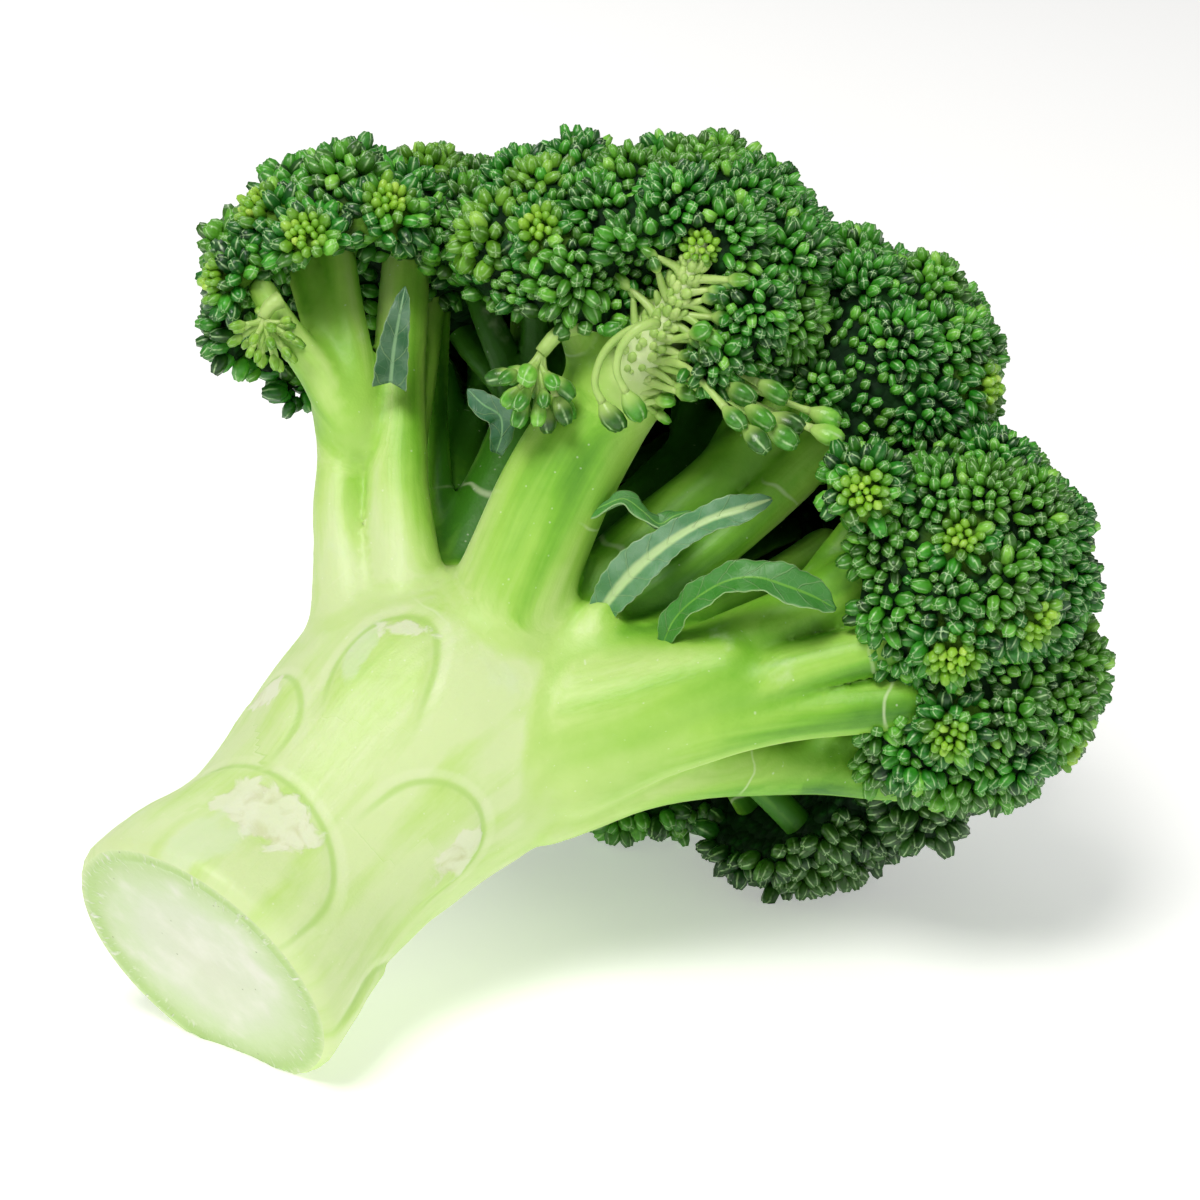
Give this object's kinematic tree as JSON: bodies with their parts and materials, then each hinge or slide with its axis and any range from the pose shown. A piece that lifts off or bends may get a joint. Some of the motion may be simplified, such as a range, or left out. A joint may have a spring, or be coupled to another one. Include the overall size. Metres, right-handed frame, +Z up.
{
  "type": "broccoli head",
  "caption": "Head of broccoli lying on its side: thick pale cut stalk, branching stems, small leaves and domed crowns of tight green flower buds.",
  "frame": {"origin": "middle of the head's footprint, on the surface it lies on", "axes": "+X from the cut stalk towards the crown in plan, +Z up from the surface it lies on"},
  "size_m": [0.171, 0.1544, 0.1355],
  "materials": {
    "stalk": "fresh green stem, waxy satin, paler towards the cut",
    "buds": "tight flower buds, deep green with a soft waxy bloom and pale tips",
    "leaves": "small fresh leaves, grey-green with pale ribs, satin",
    "sprigs": "thin fresh flower stems with green buds, satin"
  },
  "bodies": {
    "root": {"stalk": "stalk", "crown_left": "buds", "crown_left_back": "buds", "crown_far": "buds", "crown_far_low": "buds", "crown_ground_far": "buds", "crown_ground_near": "buds", "crown_right": "buds", "crown_middle": "buds", "crown_upper": "buds", "crown_crest_left": "buds", "crown_crest_far": "buds", "crown_crest_low": "buds", "crown_crest_right": "buds", "crown_apex": "buds", "leaf_long": "leaves", "leaf_arched": "leaves", "leaf_wavy": "leaves", "leaf_bract": "leaves", "leaf_curl": "leaves", "sprig_hanging": "sprigs", "sprig_curved": "sprigs", "sprig_drooping": "sprigs"}
  },
  "joints": []
}
